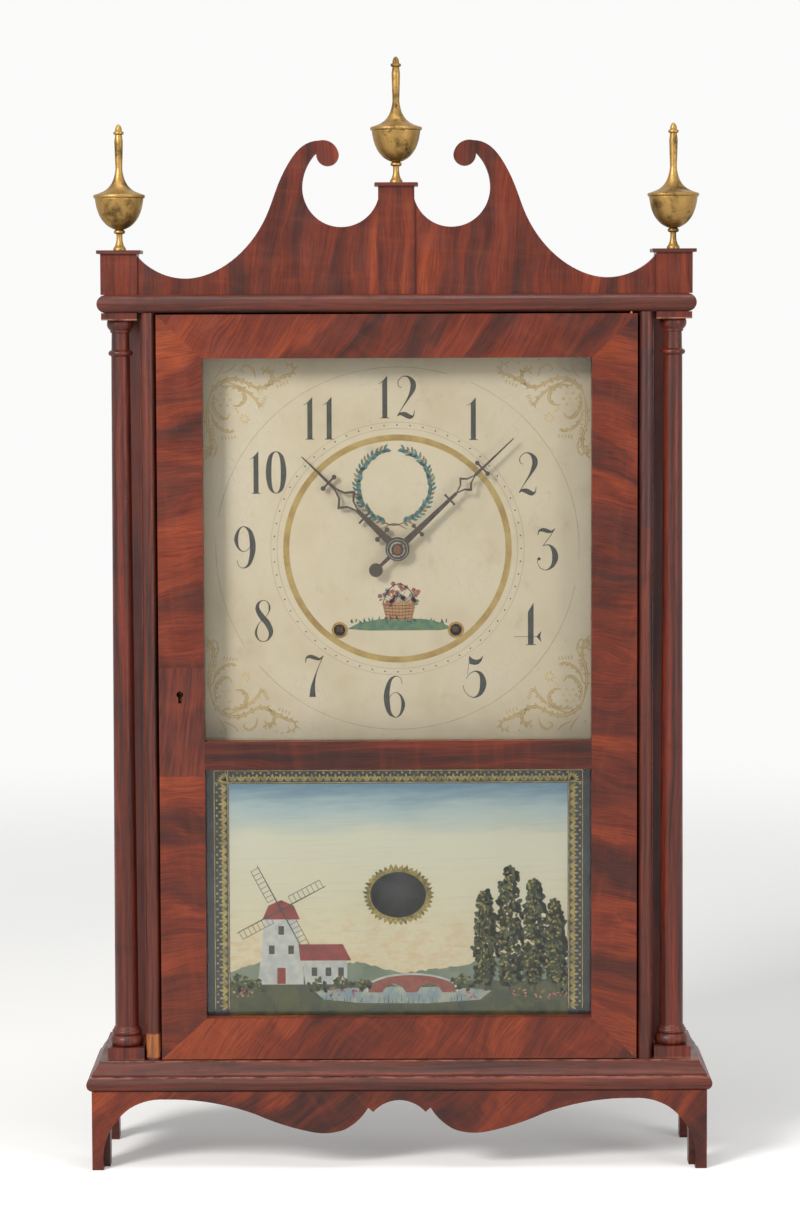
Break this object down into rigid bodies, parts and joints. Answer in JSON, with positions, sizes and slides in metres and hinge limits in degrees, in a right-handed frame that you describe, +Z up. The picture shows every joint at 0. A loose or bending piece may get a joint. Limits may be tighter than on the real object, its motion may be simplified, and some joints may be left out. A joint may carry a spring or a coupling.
{
  "type": "pillar and scroll shelf clock",
  "caption": "Shelf clock in a mahogany case with turned columns, a scrolled crest with urn finials, a painted dial and a glazed door over a weight-driven wooden movement.",
  "frame": {"origin": "middle of the footprint, on the surface that the feet stand on", "axes": "+Z up, +Y towards the back, +X to the right seen from the front"},
  "size_m": [0.445, 0.114, 0.7876],
  "materials": {
    "mahogany": "shellac over flame veneer",
    "moulding": "shellac, worn",
    "column_wood": "shellac, turned",
    "pine": "aged, bare",
    "dial_paint": "cream paint on a board, aged",
    "plate_oak": "oak, oiled",
    "wheel_cherry": "cherry, cut teeth",
    "brass": "aged brass",
    "bell_metal": "cast bell metal",
    "blued_steel": "dark blued",
    "iron": "dark iron",
    "steel_wire": "drawn wire",
    "bob_lead": "lead, dark patina",
    "glass": "old sheet glass",
    "painted_glass": "painted on the back",
    "cord": "twisted cord"
  },
  "bodies": {
    "case": {"front_apron": "mahogany", "side_aprons": "mahogany", "base_moulding": "moulding", "base_board": "moulding", "case_sides": "mahogany", "backboard": "pine", "stiles": "moulding", "cornice_board": "moulding", "scroll_crest": "mahogany", "plinths": "mahogany", "plinth_caps": "moulding", "finials": "brass", "columns": "column_wood", "movement_rails": "pine", "hinge_pins": "brass", "dial_board": "dial_paint", "winding_grommets": "brass", "dial_cleats": "pine", "front_plate": "plate_oak", "back_plate": "plate_oak", "plate_pillars": "plate_oak", "wheel_studs": "brass", "bell": "bell_metal", "bell_stand": "iron", "pendulum_cock": "steel_wire", "pulley_blocks": "pine", "cord_runs": "cord"},
    "door": {"door_stile_lock": "mahogany", "door_stile_hinge": "mahogany", "door_rail_top": "mahogany", "door_rail_middle": "mahogany", "door_rail_bottom": "mahogany", "dial_glass": "glass", "tablet_glass": "painted_glass", "lock_case": "brass"},
    "bolt": {"lock_bolt": "iron"},
    "minute": {"centre_wheel": "wheel_cherry", "minute_hand": "blued_steel"},
    "hour": {"hour_wheel": "wheel_cherry", "hour_hand": "blued_steel"},
    "minute_motion": {"minute_wheel": "wheel_cherry"},
    "time_great": {"time_great_wheel": "wheel_cherry"},
    "third": {"third_wheel": "wheel_cherry"},
    "escape": {"escape_wheel": "brass"},
    "verge": {"verge": "steel_wire"},
    "pendulum": {"pendulum_rod": "steel_wire", "pendulum_bob": "bob_lead"},
    "time_weight": {"time_weight": "iron", "time_cord": "cord"},
    "time_drum": {"time_drum": "wheel_cherry"},
    "time_pulley": {"time_pulley": "wheel_cherry"},
    "strike_great": {"strike_great_wheel": "wheel_cherry"},
    "pin": {"pin_wheel": "wheel_cherry"},
    "fly": {"fly": "wheel_cherry"},
    "count": {"count_wheel": "wheel_cherry"},
    "hammer": {"hammer": "iron"},
    "strike_weight": {"strike_weight": "iron", "strike_cord": "cord"},
    "strike_drum": {"strike_drum": "wheel_cherry"},
    "strike_pulley": {"strike_pulley": "wheel_cherry"}
  },
  "joints": [
    {"name": "door_hinge", "type": "hinge", "parent": "case", "child": "door", "pos_m": [0.1646, -0.045, 0.34], "axis": [0, 0, 1], "range_deg": [0, 105]},
    {"name": "lock_bolt_slide", "type": "slide", "parent": "door", "child": "bolt", "axis": [-1, 0, 0], "range_m": [0, 0.006]},
    {"name": "minute_arbor", "type": "hinge", "parent": "case", "child": "minute", "pos_m": [0, 0.02, 0.441], "axis": [0, 1, 0], "continuous": true},
    {"name": "hour_pipe", "type": "hinge", "parent": "case", "child": "hour", "pos_m": [0, 0.02, 0.441], "axis": [0, 1, 0], "continuous": true},
    {"name": "minute_wheel_stud", "type": "hinge", "parent": "case", "child": "minute_motion", "pos_m": [-0.024, -0.008, 0.441], "axis": [0, 1, 0], "continuous": true},
    {"name": "time_great_arbor", "type": "hinge", "parent": "case", "child": "time_great", "pos_m": [0.0415, 0.02, 0.383], "axis": [0, 1, 0], "continuous": true},
    {"name": "third_arbor", "type": "hinge", "parent": "case", "child": "third", "pos_m": [0.0312, 0.02, 0.4618], "axis": [0, 1, 0], "continuous": true},
    {"name": "escape_arbor", "type": "hinge", "parent": "case", "child": "escape", "pos_m": [0, 0.02, 0.479], "axis": [0, 1, 0], "continuous": true},
    {"name": "pendulum_pin", "type": "hinge", "parent": "case", "child": "pendulum", "pos_m": [0, -0.0052, 0.5065], "axis": [0, 1, 0], "range_deg": [-2.5, 2.5]},
    {"name": "verge_arbor", "type": "hinge", "parent": "case", "child": "verge", "pos_m": [0, 0, 0.5065], "axis": [0, 1, 0], "range_deg": [-2.5, 2.5]},
    {"name": "time_weight_drop", "type": "slide", "parent": "case", "child": "time_weight", "axis": [0, 0, 1], "range_m": [0, 0.3], "deforming": ["time_cord"]},
    {"name": "time_drum_arbor", "type": "hinge", "parent": "case", "child": "time_drum", "pos_m": [0.0415, 0.02, 0.383], "axis": [0, 1, 0], "continuous": true},
    {"name": "time_pulley_pin", "type": "hinge", "parent": "case", "child": "time_pulley", "pos_m": [0.139, 0.02, 0.588], "axis": [0, 1, 0], "continuous": true},
    {"name": "strike_great_arbor", "type": "hinge", "parent": "case", "child": "strike_great", "pos_m": [-0.0415, 0.02, 0.383], "axis": [0, 1, 0], "continuous": true},
    {"name": "pin_arbor", "type": "hinge", "parent": "case", "child": "pin", "pos_m": [-0.07498, 0.02, 0.44597], "axis": [0, 1, 0], "continuous": true},
    {"name": "fly_arbor", "type": "hinge", "parent": "case", "child": "fly", "pos_m": [-0.04497, 0.02, 0.47704], "axis": [0, 1, 0], "continuous": true},
    {"name": "count_stud", "type": "hinge", "parent": "case", "child": "count", "pos_m": [-0.09329, 0, 0.47526], "axis": [0, 1, 0], "continuous": true},
    {"name": "hammer_arbor", "type": "hinge", "parent": "case", "child": "hammer", "pos_m": [-0.1, 0.02, 0.335], "axis": [0, 1, 0], "range_deg": [0, 20], "stiffness_Nm_per_rad": 0.03, "springref_deg": -28.65},
    {"name": "strike_weight_drop", "type": "slide", "parent": "case", "child": "strike_weight", "axis": [0, 0, 1], "range_m": [0, 0.3], "deforming": ["strike_cord"]},
    {"name": "strike_drum_arbor", "type": "hinge", "parent": "case", "child": "strike_drum", "pos_m": [-0.0415, 0.02, 0.383], "axis": [0, 1, 0], "continuous": true},
    {"name": "strike_pulley_pin", "type": "hinge", "parent": "case", "child": "strike_pulley", "pos_m": [-0.139, 0.02, 0.588], "axis": [0, 1, 0], "continuous": true}
  ],
  "couplings": [
    {"joint": "hour_pipe", "follows": "minute_arbor", "ratio": 0.083333},
    {"joint": "minute_wheel_stud", "follows": "minute_arbor", "ratio": -0.33333},
    {"joint": "time_great_arbor", "follows": "minute_arbor", "ratio": -0.11111},
    {"joint": "third_arbor", "follows": "minute_arbor", "ratio": -9},
    {"joint": "escape_arbor", "follows": "minute_arbor", "ratio": 76.5},
    {"joint": "verge_arbor", "follows": "pendulum_pin", "ratio": 1},
    {"joint": "time_drum_arbor", "follows": "time_weight_drop", "rad_per_m": 57.803},
    {"joint": "time_pulley_pin", "follows": "time_weight_drop", "rad_per_m": -111.11},
    {"joint": "pin_arbor", "follows": "strike_great_arbor", "ratio": -9},
    {"joint": "fly_arbor", "follows": "strike_great_arbor", "ratio": 72},
    {"joint": "count_stud", "follows": "strike_great_arbor", "ratio": 1.1538},
    {"joint": "strike_drum_arbor", "follows": "strike_weight_drop", "rad_per_m": -57.803},
    {"joint": "strike_pulley_pin", "follows": "strike_weight_drop", "rad_per_m": 111.11}
  ]
}
